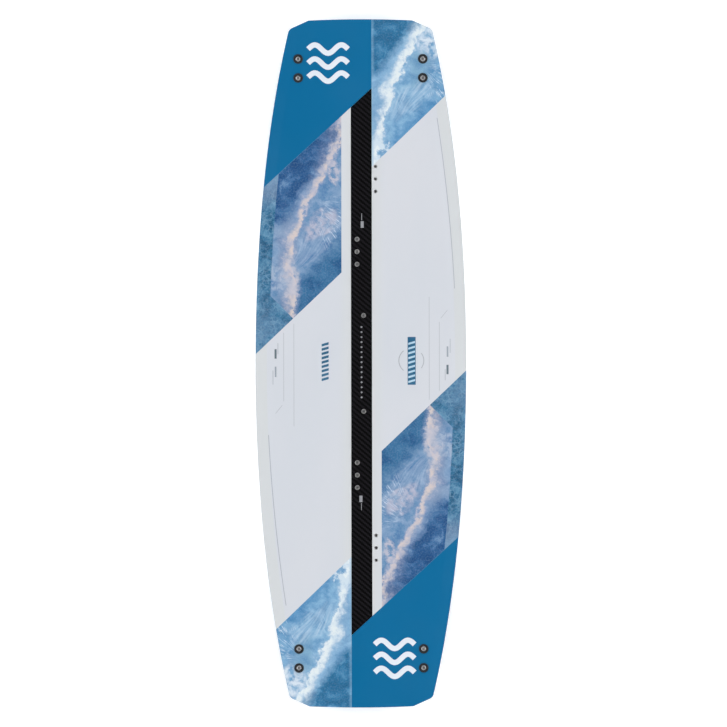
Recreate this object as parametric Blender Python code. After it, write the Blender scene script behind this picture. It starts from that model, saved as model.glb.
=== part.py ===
"""Twin-tip kiteboard without pads or handle, built up layer by layer.

Metres, +Z up. The board lies along Y with its nose at +Y and its deck facing up.
It stands on its four fins: the origin is under the middle of the board, on the
plane that the fins touch.
"""
import math

import bmesh
import bpy
from mathutils import Matrix, Vector

# ---- plan outline -------------------------------------------------------------------
LENGTH = 1.380
WIDTH = 0.423
SIDE_SQUARE = 0.1247          # how fast the side curve pulls in: its y^2 term
SIDE_FOURTH = 0.0594          # and its y^4 term
SHOULDER_Y = 0.663            # the side curve ends here and the rounded corner begins
CORNER = (0.1436, 0.6697)     # where the side and the corner cut would meet if sharp
CORNER_END = (0.137, 0.6727)  # end of the rounded corner, on the straight cut
TIP_HALF = 0.104              # half width of the tip's front edge
TIP_CROWN = 0.228             # the front edge falls back by this times x^2

# ---- side view ----------------------------------------------------------------------
ROCKER = 0.042                # tips above the middle
CONCAVE = 0.003               # middle of the base above its edges, fading to the tips
FIN_DEPTH = 0.048             # fins below the base sheet
THICK_MIDDLE = 0.0105
THICK_TIP = 0.0062
EDGE_MIDDLE = 0.0068          # sidewall height at mid length
EDGE_TIP = 0.0055
BEVEL = 0.024                 # the deck thins out over this width beside each rail

# ---- layers -------------------------------------------------------------------------
GAP = 0.0003                  # between any two pieces
SHEET = 0.0006                # printed film
LAMINATE = 0.0008
SKIN = SHEET + GAP + LAMINATE + GAP
RAIL_WIDTH = 0.008
SHEET_INSET = 0.0005
SIDE_STEPS = 10               # stations from mid length to a shoulder
CORNER_STEPS = 3
CREASE_LIMIT = 0.93           # keeps the bevel line inside the narrow tip rows
COLUMN_X = 0.095              # grid line between the middle and the bevel

# ---- carbon stringer: a strip with slanted ends, the same turned half round ---------
STRINGER_CENTRE = (0.0013, 0.0034)
STRINGER_HALF = 0.02075
STRINGER_LONG = 0.5480        # from its centre to the far end of its slanted edge
STRINGER_SHORT = 0.5100

# ---- threaded inserts in the deck ---------------------------------------------------
PAD_PITCH = 0.025
PAD_ROWS = {"outer": (0.030, 0.3695), "inner": (-0.0075, 0.2238)}
HANDLE_X = 0.0055
HANDLE_Y = 0.096
INSERT_R = 0.0046
INSERT_BORE_R = 0.0026
INSERT_FLOOR = 0.0014         # metal left under the blind bore
FOOT_R = 0.0062
FOOT_HEIGHT = 0.0012
INSERT_SINK = 0.0001          # insert tops sit just below the deck

# ---- fins and their fasteners -------------------------------------------------------
FIN_X = 0.125
FIN_Y = 0.5915
FIN_PITCH = 0.038
FIN_SIDES = 16
# depth under the base sheet, width, length, and shift towards mid length
FIN_SECTIONS = [(GAP, 0.0135, 0.096, 0.0), (0.0105, 0.0130, 0.093, 0.0),
                (0.0160, 0.0076, 0.084, 0.001), (0.0260, 0.0062, 0.070, 0.002),
                (0.0380, 0.0046, 0.054, 0.003), (0.0470, 0.0030, 0.036, 0.004)]
SCREW_R = 0.0030
SCREW_LENGTH = 0.0165         # under the head
SCREW_POINT = 0.0006
HEAD_R = 0.0049
HEAD_HEIGHT = 0.0026
HEAD_ROUND = 0.0011
SOCKET_R = 0.0017
SOCKET_DEPTH = 0.0012
WASHER_R = 0.0096
WASHER = 0.0018
WASHER_EDGE = 0.0007
SLEEVE_R = 0.0043
SLEEVE_LENGTH = 0.0080
ROUND_SIDES = 12

ENDS = (("nose", 1), ("tail", -1))
SIDES = (("left", -1), ("right", 1))
WELD = 1.0e-7
THROUGH = 0.03                # how far a cutter runs past the board


# ---- shape of the board -------------------------------------------------------------
def half_width(y):
    """Half width of the plan on the side curve, held at its shoulder value beyond."""
    y = min(abs(y), SHOULDER_Y)
    return WIDTH / 2 - SIDE_SQUARE * y ** 2 - SIDE_FOURTH * y ** 4


def fade(y):
    """1 at mid length and 0 at the tips."""
    return max(0.0, 1 - (2 * y / LENGTH) ** 2)


def rocker_z(y):
    """Height of the rocker arc above its lowest point."""
    radius = ((LENGTH / 2) ** 2 + ROCKER ** 2) / (2 * ROCKER)
    return radius - math.sqrt(radius ** 2 - y ** 2)


def base_z(x, y):
    """Height of the base sheet's lower face."""
    lift = FIN_DEPTH - rocker_z(FIN_Y)
    return lift + rocker_z(y) + CONCAVE * fade(y) * (1 - (x / half_width(y)) ** 2)


def deck_z(x, y):
    """Height of the deck: full thickness, then a bevel beside the rail."""
    middle = THICK_TIP + (THICK_MIDDLE - THICK_TIP) * fade(y)
    edge = EDGE_TIP + (EDGE_MIDDLE - EDGE_TIP) * fade(y)
    share = min(1.0, max(0.0, (half_width(y) - abs(x)) / BEVEL))
    return base_z(x, y) + edge + (middle - edge) * share


def above_base(offset):
    return lambda x, y: base_z(x, y) + offset


def below_deck(offset):
    return lambda x, y: deck_z(x, y) - offset


def corner_point(t):
    """Quadratic curve round the corner: t is 0 on the side and 1 on the corner cut."""
    start = Vector((half_width(SHOULDER_Y), SHOULDER_Y))
    bend = Vector(CORNER)
    return start * (1 - t) ** 2 + bend * 2 * t * (1 - t) + Vector(CORNER_END) * t ** 2


def crown_y(x, end_x, end_y):
    """The tip's crowned front edge through a given end point."""
    return end_y + math.copysign(1, end_y) * TIP_CROWN * (end_x ** 2 - x ** 2)


def right_edge(inset):
    """Edge points from tail to nose on the right, moved inwards along mitred corners."""
    stations = [SHOULDER_Y * i / SIDE_STEPS for i in range(SIDE_STEPS)]
    upper = [Vector((half_width(y), y)) for y in stations]
    upper += [corner_point(i / CORNER_STEPS) for i in range(CORNER_STEPS + 1)]
    upper.append(Vector((TIP_HALF, crown_y(TIP_HALF, 0, LENGTH / 2))))
    front = Vector((TIP_HALF / 2, crown_y(TIP_HALF / 2, 0, LENGTH / 2)))
    upper.append(front)
    points = [Vector((p.x, -p.y)) for p in reversed(upper[1:])] + upper
    moved = []
    for before, here, after in zip(points, points[1:], points[2:]):
        one = (here - before).normalized()
        two = (after - here).normalized()
        normals = Vector((-one.y, one.x)) + Vector((-two.y, two.x))
        moved.append(here + normals * (inset / (1 + one.dot(two))))
    return moved


# ---- Blender helpers ----------------------------------------------------------------
def material(name, color, roughness, metallic=0.0):
    made = bpy.data.materials.new(name)
    made.use_nodes = True
    shader = made.node_tree.nodes["Principled BSDF"]
    shader.inputs["Base Color"].default_value = (*color, 1.0)
    shader.inputs["Roughness"].default_value = roughness
    shader.inputs["Metallic"].default_value = metallic
    return made


def finish(name, bm, look):
    """Turn a bmesh into a named object of the scene."""
    bmesh.ops.remove_doubles(bm, verts=bm.verts, dist=WELD)
    bmesh.ops.recalc_face_normals(bm, faces=bm.faces)
    mesh = bpy.data.meshes.new(name)
    bm.to_mesh(mesh)
    bm.free()
    mesh.shade_smooth()
    mesh.set_sharp_from_angle(angle=math.radians(30))
    mesh.materials.append(look)
    made = bpy.data.objects.new(name, mesh)
    bpy.context.scene.collection.objects.link(made)
    return made


def cut(target, cutter):
    hole = target.modifiers.new(cutter.name, "BOOLEAN")
    hole.operation = "DIFFERENCE"
    hole.solver = "EXACT"
    hole.object = cutter


def as_cutter(made):
    made.hide_render = True
    made.display_type = "WIRE"
    return made


def spin_into(bm, profile, frame, closed):
    """Spin (radius, height) points about Z and place them with a matrix."""
    part = bmesh.new()
    verts = [part.verts.new((r, 0, z)) for r, z in profile]
    edges = [part.edges.new(pair) for pair in zip(verts, verts[1:])]
    if closed:
        edges.append(part.edges.new((verts[-1], verts[0])))
    bmesh.ops.spin(part, geom=verts + edges, cent=(0, 0, 0), axis=(0, 0, 1),
                   angle=2 * math.pi, steps=ROUND_SIDES)
    bmesh.ops.transform(part, matrix=frame, verts=part.verts)
    bmesh.ops.remove_doubles(part, verts=part.verts, dist=WELD)
    scratch = bpy.data.meshes.new("scratch")
    part.to_mesh(scratch)
    part.free()
    bm.from_mesh(scratch)
    bpy.data.meshes.remove(scratch)


def turned(name, profile, frame, look, closed=False):
    bm = bmesh.new()
    spin_into(bm, profile, Matrix.Identity(4), closed)
    made = finish(name, bm, look)
    made.matrix_world = frame
    return made


def rod(radius, top, bottom):
    """Profile of a plain cylinder."""
    return [(0, top), (radius, top), (radius, bottom), (0, bottom)]


def cutter_of(name, pieces, look):
    """One cutter from several (profile, frame) pairs."""
    bm = bmesh.new()
    for profile, frame in pieces:
        spin_into(bm, profile, frame, False)
    return as_cutter(finish(name, bm, look))


def surface_frame(height, x, y):
    """Matrix with its origin on a height function's surface and Z along the normal."""
    step = 0.003
    along = Vector((0, 2 * step, height(x, y + step) - height(x, y - step)))
    across = Vector((2 * step, 0, height(x + step, y) - height(x - step, y)))
    normal = across.cross(along).normalized()
    along.normalize()
    side = along.cross(normal)
    turn = Matrix((side, along, normal)).transposed().to_4x4()
    return Matrix.Translation((x, y, height(x, y))) @ turn


def slab(name, rows, lower, upper, look):
    """A closed sheet over rows of plan points, between two height functions."""
    bm = bmesh.new()
    faces = []
    for height in (lower, upper):
        grid = [[bm.verts.new((x, y, height(x, y))) for x, y in row] for row in rows]
        for one, two in zip(grid, grid[1:]):
            for i in range(len(one) - 1):
                bm.faces.new((one[i], one[i + 1], two[i + 1], two[i]))
        right = [row[-1] for row in grid[1:-1]]
        left = [row[0] for row in grid[-2:0:-1]]
        faces.append(grid[0] + right + grid[-1][::-1] + left)
    low, high = faces
    for i in range(len(low)):
        bm.faces.new((low[i - 1], low[i], high[i], high[i - 1]))
    return finish(name, bm, look)


# ---- the layers ---------------------------------------------------------------------
def layer_rows(inset):
    """Plan grid of a whole layer: rows from tail to nose, points from left to right."""
    edge = right_edge(inset)
    rows = []
    for index, (half, y) in enumerate(edge):
        crease = min(half_width(y) - BEVEL, CREASE_LIMIT * half)
        column = min(COLUMN_X, 0.9 * crease)
        right = [column, crease, half]
        xs = [-x for x in reversed(right)] + [0.0] + right
        if index in (0, len(edge) - 1):
            rows.append([(x, crown_y(x, half, y)) for x in xs])
        else:
            rows.append([(x, y) for x in xs])
    return rows


def stringer_rows(grow):
    """Plan grid of the stringer, grown all round to cut its window."""
    slope = (STRINGER_LONG - STRINGER_SHORT) / (2 * STRINGER_HALF)
    half = STRINGER_HALF + grow
    middle = (STRINGER_LONG + STRINGER_SHORT) / 2 + grow * math.hypot(1, slope)
    cx, cy = STRINGER_CENTRE
    xs = [cx - half, 0.0, cx + half]
    rows = [[(x, cy - middle + slope * (x - cx)) for x in xs]]
    steps = 8
    for i in range(-steps + 1, steps):
        rows.append([(x, STRINGER_SHORT * i / steps) for x in xs])
    rows.append([(x, cy + middle + slope * (x - cx)) for x in xs])
    return rows


def build_layers():
    skin_rows = layer_rows(SHEET_INSET)
    core_rows = layer_rows(RAIL_WIDTH + GAP)
    film = SHEET + GAP
    layers = {
        "base_sheet": slab("base_sheet", skin_rows, base_z, above_base(SHEET),
                           base_film),
        "base_laminate": slab("base_laminate", core_rows, above_base(film),
                              above_base(film + LAMINATE), glass_fibre),
        "wood_core": slab("wood_core", core_rows, above_base(SKIN), below_deck(SKIN),
                          paulownia),
        "deck_laminate": slab("deck_laminate", core_rows,
                              below_deck(film + LAMINATE), below_deck(film),
                              glass_fibre),
        "top_sheet": slab("top_sheet", skin_rows, below_deck(SHEET), deck_z,
                          deck_film),
        "carbon_stringer": slab("carbon_stringer", stringer_rows(0),
                                below_deck(SHEET), deck_z, carbon_twill),
    }
    window = slab("stringer_window", stringer_rows(GAP), below_deck(SHEET + GAP / 2),
                  above_base(THROUGH), cutter_look)
    cut(layers["top_sheet"], as_cutter(window))
    return layers


# ---- the rails ----------------------------------------------------------------------
def build_rail(name, outer, inner, turn):
    """The band between two plan lines, from above the base sheet to below the deck's."""
    step = SHEET + GAP
    rows = [[(turn * a.x, turn * a.y), (turn * b.x, turn * b.y)]
            for a, b in zip(outer, inner)]
    slab(name, rows, above_base(step), below_deck(step), rail_plastic)


def tip_line(edge):
    """Plan line round the nose between the two side rails, a gap short of each."""
    joint = CORNER_STEPS + 1
    steps = 4
    corner = [p.copy() for p in edge[-joint - 1:]]
    corner[0] += (corner[1] - corner[0]).normalized() * GAP
    half, end_y = corner[-1]
    front_x = [half * (1 - 2 * i / steps) for i in range(1, steps)]
    front = [Vector((x, crown_y(x, half, end_y))) for x in front_x]
    return corner + front + [Vector((-p.x, p.y)) for p in reversed(corner)]


def build_rails():
    outer = right_edge(0)
    inner = right_edge(RAIL_WIDTH)
    joint = CORNER_STEPS + 1
    for side, sign in SIDES:
        build_rail(side + "_rail", outer[joint:-joint], inner[joint:-joint], sign)
    for end, sign in ENDS:
        build_rail(end + "_rail", tip_line(outer), tip_line(inner), sign)


# ---- deck inserts -------------------------------------------------------------------
def insert_places():
    """Names and plan places of the pad inserts and the handle inserts."""
    places = []
    for end, sign in ENDS:
        for row, (x, y) in PAD_ROWS.items():
            for number in (1, 2, 3):
                along = sign * (y + PAD_PITCH * (number - 2))
                places.append(("pad_insert_%s_%s_%d" % (end, row, number), x, along))
        places.append(("handle_insert_" + end, HANDLE_X, sign * HANDLE_Y))
    return places


def build_inserts(layers):
    """Flanged inserts that stand on the base laminate, and their stepped pockets."""
    pockets = []
    for name, x, y in insert_places():
        frame = surface_frame(deck_z, x, y)
        bottom = -(deck_z(x, y) - base_z(x, y) - SKIN)
        shoulder = bottom + FOOT_HEIGHT
        bore = bottom + INSERT_FLOOR
        turned(name, [(0, bore), (INSERT_BORE_R, bore), (INSERT_BORE_R, -INSERT_SINK),
                      (INSERT_R, -INSERT_SINK), (INSERT_R, shoulder),
                      (FOOT_R, shoulder), (FOOT_R, bottom), (0, bottom)],
               frame, stainless)
        neck_r = INSERT_R + GAP
        wide_r = FOOT_R + GAP
        step = shoulder + GAP
        floor = bottom - GAP / 2
        pockets.append(([(0, THROUGH), (neck_r, THROUGH), (neck_r, step),
                         (wide_r, step), (wide_r, floor), (0, floor)], frame))
    pocket_cutter = cutter_of("insert_pockets", pockets, cutter_look)
    for layer in ("wood_core", "deck_laminate", "top_sheet", "carbon_stringer"):
        cut(layers[layer], pocket_cutter)


# ---- fins ---------------------------------------------------------------------------
def build_fin(name, x, y):
    """A foil lofted through elliptical sections, with its tip cut level at height 0."""
    frame = surface_frame(base_z, x, y)
    normal = frame.col[2].to_3d()
    bm = bmesh.new()
    rings = []
    for depth, width, length, shift in FIN_SECTIONS:
        ring = []
        for i in range(FIN_SIDES):
            turn = 2 * math.pi * i / FIN_SIDES
            along = length / 2 * math.sin(turn) - math.copysign(shift, y)
            point = frame @ Vector((width / 2 * math.cos(turn), along, -depth))
            if depth == FIN_SECTIONS[-1][0]:
                point -= normal * (point.z / normal.z)
            ring.append(bm.verts.new(point))
        rings.append(ring)
    for one, two in zip(rings, rings[1:]):
        for i in range(FIN_SIDES):
            bm.faces.new((one[i - 1], one[i], two[i], two[i - 1]))
    bm.faces.new(rings[0])
    bm.faces.new(rings[-1])
    return finish(name, bm, fin_composite)


def build_fins(layers):
    """Four fins, each held by two screws, washers and moulded-in threaded sleeves."""
    holes = []
    screw_seat = WASHER + 2 * GAP
    top = screw_seat + HEAD_HEIGHT
    tip = screw_seat - SCREW_LENGTH
    screw = [(0, top - SOCKET_DEPTH), (SOCKET_R, top - SOCKET_DEPTH), (SOCKET_R, top),
             (HEAD_R - HEAD_ROUND, top), (HEAD_R, top - HEAD_ROUND),
             (HEAD_R, screw_seat), (SCREW_R, screw_seat), (SCREW_R, tip + SCREW_POINT),
             (SCREW_R - SCREW_POINT, tip), (0, tip)]
    bore = SCREW_R + GAP
    rim = GAP + WASHER
    washer = [(bore, GAP), (WASHER_R, GAP), (WASHER_R, rim - WASHER_EDGE),
              (WASHER_R - WASHER_EDGE, rim), (bore, rim)]
    for end, nose in ENDS:
        for side, right in SIDES:
            corner = "%s_%s" % (end, side)
            x = right * FIN_X
            fin = build_fin("fin_" + corner, x, nose * FIN_Y)
            sleeves = []
            for number in (1, 2):
                y = nose * (FIN_Y + FIN_PITCH * (number - 1.5))
                name = "%s_%d" % (corner, number)
                frame = surface_frame(deck_z, x, y)
                turned("fin_screw_" + name, screw, frame, stainless)
                turned("fin_washer_" + name, washer, frame, washer_rubber, True)
                high = -(deck_z(x, y) - base_z(x, y)) - 2 * GAP
                low = high - SLEEVE_LENGTH
                turned("fin_sleeve_" + name, [(bore, high), (SLEEVE_R, high),
                                              (SLEEVE_R, low), (bore, low)],
                       frame, brass, True)
                sleeves.append((rod(SLEEVE_R + GAP, high + 4 * GAP, low - GAP), frame))
                holes.append((rod(bore, THROUGH, high - GAP), frame))
            cut(fin, cutter_of("sleeve_pockets_" + corner, sleeves, cutter_look))
    screw_holes = cutter_of("screw_holes", holes, cutter_look)
    for layer in ("base_sheet", "base_laminate", "wood_core", "deck_laminate",
                  "top_sheet"):
        cut(layers[layer], screw_holes)


for old in list(bpy.data.objects):
    bpy.data.objects.remove(old, do_unlink=True)

paulownia = material("paulownia", (0.60, 0.42, 0.24), 0.7)
glass_fibre = material("glass_fibre", (0.50, 0.52, 0.44), 0.45)
deck_film = material("deck_film", (0.70, 0.73, 0.78), 0.3)
base_film = material("base_film", (0.01, 0.14, 0.33), 0.3)
carbon_twill = material("carbon_twill", (0.008, 0.008, 0.010), 0.3)
rail_plastic = material("rail_plastic", (0.60, 0.63, 0.68), 0.45)
stainless = material("stainless_steel", (0.56, 0.57, 0.58), 0.3, 1.0)
brass = material("brass", (0.72, 0.52, 0.24), 0.35, 1.0)
washer_rubber = material("washer_rubber", (0.015, 0.015, 0.017), 0.6)
fin_composite = material("fin_composite", (0.020, 0.020, 0.022), 0.35)
cutter_look = material("cutter", (1.0, 0.0, 0.0), 0.5)

board_layers = build_layers()
build_rails()
build_inserts(board_layers)
build_fins(board_layers)
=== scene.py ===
"""Looks for the twin-tip kiteboard: printed deck film, carbon, rails, fins and hardware."""
import math

import bmesh
import bpy
from mathutils import Matrix, Vector
from mathutils.geometry import delaunay_2d_cdt
from mathutils.kdtree import KDTree


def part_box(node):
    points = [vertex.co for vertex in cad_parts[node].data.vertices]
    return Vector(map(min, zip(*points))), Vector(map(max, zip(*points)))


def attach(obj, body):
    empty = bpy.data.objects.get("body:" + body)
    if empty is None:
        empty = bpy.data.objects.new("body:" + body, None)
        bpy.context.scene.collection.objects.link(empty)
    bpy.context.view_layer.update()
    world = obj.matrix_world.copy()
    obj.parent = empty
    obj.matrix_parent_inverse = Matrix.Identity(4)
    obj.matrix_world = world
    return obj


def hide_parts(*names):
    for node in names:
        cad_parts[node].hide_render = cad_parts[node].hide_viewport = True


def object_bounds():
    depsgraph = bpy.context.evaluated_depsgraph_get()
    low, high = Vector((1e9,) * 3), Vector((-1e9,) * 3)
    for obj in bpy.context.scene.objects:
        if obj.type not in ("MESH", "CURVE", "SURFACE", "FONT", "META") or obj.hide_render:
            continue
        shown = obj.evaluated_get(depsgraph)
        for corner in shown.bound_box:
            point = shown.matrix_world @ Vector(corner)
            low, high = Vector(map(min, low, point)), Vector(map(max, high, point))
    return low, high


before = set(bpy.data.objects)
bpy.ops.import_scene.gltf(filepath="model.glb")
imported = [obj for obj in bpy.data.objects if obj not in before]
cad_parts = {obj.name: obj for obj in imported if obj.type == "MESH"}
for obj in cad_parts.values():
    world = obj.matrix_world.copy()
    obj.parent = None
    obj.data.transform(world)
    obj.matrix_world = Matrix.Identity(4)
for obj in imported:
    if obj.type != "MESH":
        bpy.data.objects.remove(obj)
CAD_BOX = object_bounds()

# ---- the board's driving sizes, in metres, as the CAD model has them ----
LENGTH = CAD_BOX[1][1] - CAD_BOX[0][1]
WIDTH = CAD_BOX[1][0] - CAD_BOX[0][0]
SIDE_SQUARE = 0.1247
SIDE_FOURTH = 0.0594
SHOULDER_Y = 0.663
CORNER = Vector((0.1436, 0.6697))
CORNER_END = Vector((0.137, 0.6727))
TIP_HALF = 0.104
TIP_CROWN = 0.228
ROCKER = 0.042
CONCAVE = 0.003
THICK_MIDDLE = 0.0105
THICK_TIP = 0.0062
EDGE_MIDDLE = 0.0068
EDGE_TIP = 0.0055
BEVEL = 0.024
BEVEL_SOFT = 0.0025           # half width of the rounding along the bevel's crease
GAP = 0.0003
SHEET = 0.0006
LAMINATE = 0.0008
SKIN = SHEET + GAP + LAMINATE + GAP
FILM_INSET = 0.0005
RAIL_WIDTH = 0.008
RAIL_ROUND_LOW = 0.0016
RAIL_ROUND_HIGH = 0.0011
RAIL_ROUND_STEPS = 6
OUTLINE_STEP = 0.010
CORNER_STEPS = 6
FRONT_STEPS = 18
CORE_STRIP = 0.030            # width of one wood strip
CLOTH_RIB = 0.0016            # width of one rib of the glass cloth
TOW_X = 0.00306               # one tow of the carbon twill
TOW_Y = 0.00260

# ---- the deck print: one half, and the same turned half round about its centre ----
STRINGER_LOW, STRINGER_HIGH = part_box("carbon_stringer")
PRINT_X = (STRINGER_LOW[0] + STRINGER_HIGH[0]) / 2
PRINT_Y = (STRINGER_LOW[1] + STRINGER_HIGH[1]) / 2
STRIP_HALF = (STRINGER_HIGH[0] - STRINGER_LOW[0]) / 2
BLUE_AT_STRIP = (STRINGER_HIGH[1] - STRINGER_LOW[1]) / 2
BLUE_SLOPE = 0.9157           # lower edge of the plain blue, rising to the right
SURF_AT_STRIP = 0.391         # lower edge of the surf picture, at the strip
SURF_SLOPE = 0.96
CLOUD_RIGHT = -0.040          # right-hand edge of the cloud picture
CLOUD_LOW = 0.179             # its lower edge there
CLOUD_SLOPE = 0.949
SHOAL_INSET = 0.028           # the shoal band runs this far inside the rail
SHOAL_TURN = 0.1358           # and turns inwards at 45 degrees here

# ---- printed marks: places from the board's middle, or from the print's centre ----
WAVE_PLACES = (("nose", -0.0648, 0.6021), ("tail", 0.0668, -0.5913))
WAVE_WIDTH = 0.080
WAVE_SPACING = 0.028
WAVE_THICK = 0.0105
WAVE_RISE = 0.30              # of the spacing
BLOCK_LOW = (0.0937, -0.043)
BLOCK_HIGH = (0.1099, 0.053)
# left, low, width and height of a column of bars, and a bar's share of its pitch
PALE_BARS = (0.0950, -0.0395, 0.0136, 0.0860, 0.42)
BLUE_BARS = (-0.0788, -0.0355, 0.0142, 0.0780, 0.58)
BAR_COUNT = 9
BAR_SLANT = 0.004
RING = (0.1011, 0.0054, 0.0250)
RING_ARCS = ((128, 232), (-37, 37))
RING_THICK = 0.0017
THIN_LINES = (((0.1357, 0.1296), (0.1357, -0.0764)), ((0.1561, 0.0796), (0.1561, -0.0584)),
              ((0.1590, 0.0871), (0.1724, 0.1033)))
THIN = 0.0008
# A painted shade line along the bevel's crease, as plan points from the print's centre, and its
# width
CREASE = ((0.1534, 0.492), (0.1779, 0.291), (0.1880, 0.150))
CREASE_THICK = 0.0013
# kind, x, low, high and width of the short upright strokes
STROKES = (("small_marks", 0.1724, -0.0254, -0.0064, 0.0042),
           ("faint_marks", 0.1724, 0.0096, 0.0306, 0.0034),
           ("faint_marks", 0.1777, 0.0176, 0.0456, 0.0010),
           ("faint_marks", 0.1677, -0.0374, -0.0154, 0.0010),
           ("carbon_dots", 0.0017, 0.2686, 0.2816, 0.0060),
           ("carbon_dots", 0.0007, 0.2836, 0.2976, 0.0012))
DOTS = 15
DOT_R = 0.0019
DOTS_TOP = 0.073
DOTS_LONG = 0.141

# ---- the base print: slanted fields, as heights at the left and the right ----
BASE_BAND = (0.180, 0.520)
BASE_BLUE = (0.300, 0.640)
BASE_LINE_X = 0.045
BASE_LINE_PITCH = 0.026
BASE_LINE_HALF = 0.150
BASE_LINE_SHIFT = 0.018
BASE_LINE_THICK = 0.007

# ---- meshes of the films ----
GRID = 0.012                  # spacing of the film's inner mesh points
CLEAR = 0.0035                # inner points keep this far from lines and holes
CREASE_REACH = 0.684          # the crease lines run this far towards the tips
CREASE_STEPS = 130
WORK_EPSILON = 1.0e-7
LAPPED_HOLE_R = 0.0034        # the white film laps over the outer rows' flanges

# ---- hardware ----
INSERT_R = 0.0046
INSERT_BORE_R = 0.0026
INSERT_FLOOR = 0.0014
INSERT_SINK = 0.0001
FOOT_R = 0.0062
FOOT_HEIGHT = 0.0012
SCREW_R = 0.0030
SCREW_LENGTH = 0.0165
SCREW_PITCH = 0.0010
SCREW_TURN = 37.0             # degrees from one screw's recess to the next one's
HEAD_R = 0.0049
HEAD_HEIGHT = 0.0026
RECESS_LONG = 0.0034
RECESS_WIDE = 0.00075
RECESS_PIT = 0.0018
RECESS_DEPTH = 0.0018
RECESS_OVER = 0.001           # the cutter starts this far above the head
WASHER_R = 0.0096
WASHER = 0.0018
FIN_X = 0.125
FIN_Y = 0.5915
FIN_DEPTH = 0.048
FIN_SIDES = 48
FIN_TIP_ROUND = 0.0016
FIN_FOOT_ROUND = 0.0004
FIN_NECK = 0.0165             # the foil is clear of the foot at this depth
# depth under the base sheet, width, length, and shift towards mid length
FIN_SECTIONS = [(GAP, 0.0135, 0.096, 0.0), (0.0105, 0.0130, 0.093, 0.0),
                (0.0160, 0.0076, 0.084, 0.001), (0.0260, 0.0062, 0.070, 0.002),
                (0.0380, 0.0046, 0.054, 0.003), (0.0470, 0.0030, 0.036, 0.004)]

# ---- studio ----
VIEW_X = 0.0052               # the camera looks straight down on this point
VIEW_Y = -0.0002
VIEW_WIDTH = 1.4581           # width of the view at the deck
VIEW_ROLL = -0.09             # degrees
LENS = 1000.0
SENSOR = 36.0
STUDIO_GAIN = 1.15            # brightness of a white surface facing up
FLOOR_SIZE = 60.0
FLOOR_Z = -0.0004
FLOOR_GLOW = 0.34             # the floor is lit from below, more so further out
FAR_GLOW = 0.95
HORIZON_GLOW = 0.45           # what the board's gloss mirrors, near the horizon
ZENITH_GLOW = 0.02            # and overhead
BACKDROP_GLOW = 1.0           # what the camera sees past the floor
FILM_SPECULAR = 0.3
# place of the one on the +X or +Y side, width and height, and power of each pair of lights
SOFTBOXES = (("side", (4.4, 0.0, 3.9), (3.6, 1.6), 183.0),
             ("end", (0.0, 4.8, 4.0), (3.0, 1.4), 110.0))

ENDS = (("nose", 1), ("tail", -1))
SIDES = (("left", -1), ("right", 1))


# ---- shape of the board ----
def half_width(y):
    """Half width of the plan on the side curve, held at its shoulder value beyond."""
    y = min(abs(y), SHOULDER_Y)
    return WIDTH / 2 - SIDE_SQUARE * y ** 2 - SIDE_FOURTH * y ** 4


def fade(y):
    """1 at mid length and 0 at the tips."""
    return max(0.0, 1 - (2 * y / LENGTH) ** 2)


def rocker_z(y):
    """Height of the rocker arc above its lowest point."""
    radius = ((LENGTH / 2) ** 2 + ROCKER ** 2) / (2 * ROCKER)
    return radius - math.sqrt(radius ** 2 - y ** 2)


def base_z(x, y):
    """Height of the base film's lower face."""
    lift = FIN_DEPTH - rocker_z(FIN_Y)
    return lift + rocker_z(y) + CONCAVE * fade(y) * (1 - (x / half_width(y)) ** 2)


def bevel_share(inward):
    """0 at the rail and 1 on the full thickness, rounded where the bevel begins."""
    over = (inward - BEVEL + BEVEL_SOFT) / (2 * BEVEL_SOFT)
    if over <= 0:
        return max(0.0, inward / BEVEL)
    if over >= 1:
        return 1.0
    return (inward - BEVEL_SOFT * over ** 2) / BEVEL


def deck_z(x, y):
    """Height of the deck."""
    middle = THICK_TIP + (THICK_MIDDLE - THICK_TIP) * fade(y)
    edge = EDGE_TIP + (EDGE_MIDDLE - EDGE_TIP) * fade(y)
    share = bevel_share(half_width(y) - abs(x))
    return base_z(x, y) + edge + (middle - edge) * share


def surface_normal(height, x, y, step=0.0008):
    slope_x = (height(x + step, y) - height(x - step, y)) / (2 * step)
    slope_y = (height(x, y + step) - height(x, y - step)) / (2 * step)
    return Vector((-slope_x, -slope_y, 1)).normalized()


def surface_frame(height, x, y):
    """Matrix with its origin on the surface, Y along the board and Z along the normal."""
    normal = surface_normal(height, x, y, 0.003)
    along = Vector((0, normal.z, -normal.y)).normalized()
    turn = Matrix((along.cross(normal), along, normal)).transposed().to_4x4()
    return Matrix.Translation((x, y, height(x, y))) @ turn


def crown_y(x):
    """The nose's crowned front edge."""
    return LENGTH / 2 - TIP_CROWN * x ** 2


def corner_point(t):
    """Quadratic curve round the corner: t is 0 on the side and 1 on the corner cut."""
    start = Vector((half_width(SHOULDER_Y), SHOULDER_Y))
    return start * (1 - t) ** 2 + CORNER * 2 * t * (1 - t) + CORNER_END * t ** 2


def outline(inset):
    """Closed plan outline, anticlockwise, moved inwards by inset along mitred corners."""
    count = round(SHOULDER_Y / OUTLINE_STEP)
    stations = [SHOULDER_Y * i / count for i in range(count)]
    upper = [Vector((half_width(y), y)) for y in stations]
    upper += [corner_point(i / CORNER_STEPS) for i in range(CORNER_STEPS + 1)]
    front = [TIP_HALF * (1 - 2 * i / FRONT_STEPS) for i in range(FRONT_STEPS)]
    tip = [Vector((x, crown_y(x))) for x in front]
    upper.append(tip[0])
    half = [Vector((p.x, -p.y)) for p in reversed(upper[1:])] + upper + tip[1:]
    loop = half + [-p for p in half]
    moved = []
    for i, here in enumerate(loop):
        one = (here - loop[i - 1]).normalized()
        two = (loop[(i + 1) % len(loop)] - here).normalized()
        normals = Vector((-one.y, one.x)) + Vector((-two.y, two.x))
        moved.append(here + normals * (inset / (1 + one.dot(two))))
    return moved


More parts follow.
